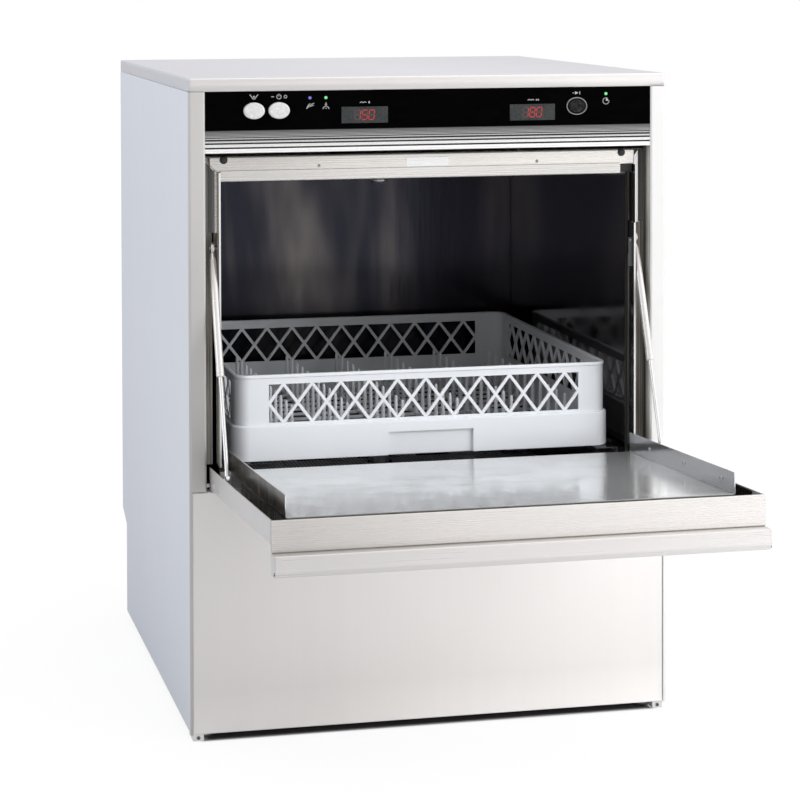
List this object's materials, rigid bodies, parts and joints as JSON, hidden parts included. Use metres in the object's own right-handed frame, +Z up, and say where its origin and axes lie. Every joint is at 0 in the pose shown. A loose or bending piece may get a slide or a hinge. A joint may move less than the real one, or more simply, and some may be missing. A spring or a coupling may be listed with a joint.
{
  "type": "commercial dishwasher",
  "caption": "Undercounter front-loading stainless dishwasher with drop-down door on telescopic struts, sliding dish rack, spinning wash and rinse arms and a glass control fascia.",
  "frame": {"origin": "centre of the 600 x 640 mm footprint on the flat underside of the base tray, 9 mm above the floor the feet stand on", "axes": "+X to the machine's right seen from the front, +Y from the front to the rear (the front faces -Y), +Z up"},
  "size_m": [0.6, 1.049, 0.799],
  "materials": {
    "side_steel": "fine vertical brushed, satin",
    "front_steel": "fine brushed, satin",
    "top_steel": "fine brushed, satin",
    "bright_steel": "bright annealed, mirror-like",
    "trim_aluminium": "ribbed, satin anodised",
    "black_glass": "gloss black glass face",
    "button_white": "smooth satin",
    "button_black": "smooth satin",
    "display_window": "smoked window",
    "lamp_blue": "clear lens",
    "lamp_green": "clear lens",
    "circuit_board": "lacquered board",
    "seal_rubber": "matt",
    "zinc_steel": "machined",
    "strut_steel": "polished",
    "rack_plastic": "moulded, fine grain",
    "pump_plastic": "moulded",
    "hose_rubber": "matt",
    "valve_plastic": "moulded",
    "standpipe_plastic": "moulded",
    "heater_sheath": "heat-tinted",
    "boiler_steel": "welded",
    "foot_steel": "turned"
  },
  "bodies": {
    "cabinet": {"base_tray": "top_steel", "top_panel": "top_steel", "left_side_panel": "side_steel", "right_side_panel": "side_steel", "rear_panel_upper": "side_steel", "rear_panel_lower": "side_steel", "front_lower_panel": "front_steel", "left_front_jamb": "front_steel", "right_front_jamb": "front_steel", "upper_cross_member": "bright_steel", "chamber_left_wall": "bright_steel", "chamber_right_wall": "bright_steel", "chamber_rear_wall": "bright_steel", "chamber_ceiling": "bright_steel", "wash_tank": "bright_steel", "rack_rail_left": "bright_steel", "rack_rail_right": "bright_steel", "door_seal": "seal_rubber", "control_fascia": "black_glass", "fascia_trim": "trim_aluminium", "control_board": "circuit_board", "wash_display": "display_window", "rinse_display": "display_window", "fill_indicator": "lamp_blue", "heat_indicator": "lamp_green", "ready_indicator": "lamp_green", "hinge_pivot_left": "zinc_steel", "hinge_pivot_right": "zinc_steel", "lower_arm_spindle": "zinc_steel", "upper_arm_spindle": "zinc_steel", "tank_filter": "bright_steel", "overflow_standpipe": "standpipe_plastic", "tank_heater": "heater_sheath", "wash_pump": "pump_plastic", "drain_pump": "pump_plastic", "rinse_booster": "boiler_steel", "upper_feed_pipe": "hose_rubber", "inlet_valve": "valve_plastic", "drain_outlet": "hose_rubber", "cable_gland": "hose_rubber", "dosing_pump": "pump_plastic", "foot_front_left": "foot_steel", "foot_front_right": "foot_steel", "foot_rear_left": "foot_steel", "foot_rear_right": "foot_steel"},
    "door": {"door_outer_panel": "front_steel", "door_inner_panel": "bright_steel", "door_handle": "front_steel"},
    "strut_tube_left_body": {"strut_tube_left": "strut_steel"},
    "strut_tube_right_body": {"strut_tube_right": "strut_steel"},
    "strut_rod_left_body": {"strut_rod_left": "strut_steel"},
    "strut_rod_right_body": {"strut_rod_right": "strut_steel"},
    "rack": {"dish_rack": "rack_plastic"},
    "lower_wash_arm_body": {"lower_wash_arm": "bright_steel"},
    "lower_rinse_arm_body": {"lower_rinse_arm": "bright_steel"},
    "upper_wash_arm_body": {"upper_wash_arm": "bright_steel"},
    "upper_rinse_arm_body": {"upper_rinse_arm": "bright_steel"},
    "drain_button_body": {"drain_button": "button_white"},
    "power_button_body": {"power_button": "button_white"},
    "start_button_body": {"start_button": "button_black"}
  },
  "joints": [
    {"name": "door_hinge", "type": "hinge", "parent": "cabinet", "child": "door", "pos_m": [0, -0.315, 0.3], "axis": [-1, 0, 0], "range_deg": [0, 86.75]},
    {"name": "rack_slide", "type": "slide", "parent": "cabinet", "child": "rack", "axis": [0, 0.9984, -0.0567], "range_m": [-0.385, 0]},
    {"name": "strut_pivot_left", "type": "hinge", "parent": "cabinet", "child": "strut_tube_left_body", "pos_m": [-0.2685, -0.295, 0.5835], "axis": [1, 0, 0], "range_deg": [0, 21.35]},
    {"name": "strut_extension_left", "type": "slide", "parent": "strut_tube_left_body", "child": "strut_rod_left_body", "axis": [0, 0.3732, 0.9278], "range_m": [0, 0.08349]},
    {"name": "strut_pivot_right", "type": "hinge", "parent": "cabinet", "child": "strut_tube_right_body", "pos_m": [0.2685, -0.295, 0.5835], "axis": [1, 0, 0], "range_deg": [0, 21.35]},
    {"name": "strut_extension_right", "type": "slide", "parent": "strut_tube_right_body", "child": "strut_rod_right_body", "axis": [0, 0.3732, 0.9278], "range_m": [0, 0.08349]},
    {"name": "lower_wash_arm_spin", "type": "hinge", "parent": "cabinet", "child": "lower_wash_arm_body", "pos_m": [0, -0.034, 0.282], "axis": [0, 0, 1], "continuous": true},
    {"name": "lower_rinse_arm_spin", "type": "hinge", "parent": "cabinet", "child": "lower_rinse_arm_body", "pos_m": [0, -0.034, 0.2975], "axis": [0, 0, 1], "continuous": true},
    {"name": "upper_wash_arm_spin", "type": "hinge", "parent": "cabinet", "child": "upper_wash_arm_body", "pos_m": [0, -0.034, 0.66], "axis": [0, 0, 1], "continuous": true},
    {"name": "upper_rinse_arm_spin", "type": "hinge", "parent": "cabinet", "child": "upper_rinse_arm_body", "pos_m": [0, -0.034, 0.6445], "axis": [0, 0, 1], "continuous": true},
    {"name": "drain_button_press", "type": "slide", "parent": "cabinet", "child": "drain_button_body", "axis": [0, 1, 0], "range_m": [0, 0.003], "stiffness_N_per_m": 300},
    {"name": "power_button_press", "type": "slide", "parent": "cabinet", "child": "power_button_body", "axis": [0, 1, 0], "range_m": [0, 0.003], "stiffness_N_per_m": 300},
    {"name": "start_button_press", "type": "slide", "parent": "cabinet", "child": "start_button_body", "axis": [0, 1, 0], "range_m": [0, 0.003], "stiffness_N_per_m": 300}
  ],
  "couplings": [
    {"joint": "strut_pivot_left", "follows": "door_hinge", "ratio": 0.24589},
    {"joint": "strut_extension_left", "follows": "door_hinge", "m_per_rad": 0.055108},
    {"joint": "strut_pivot_right", "follows": "door_hinge", "ratio": 0.24589},
    {"joint": "strut_extension_right", "follows": "door_hinge", "m_per_rad": 0.055108}
  ]
}
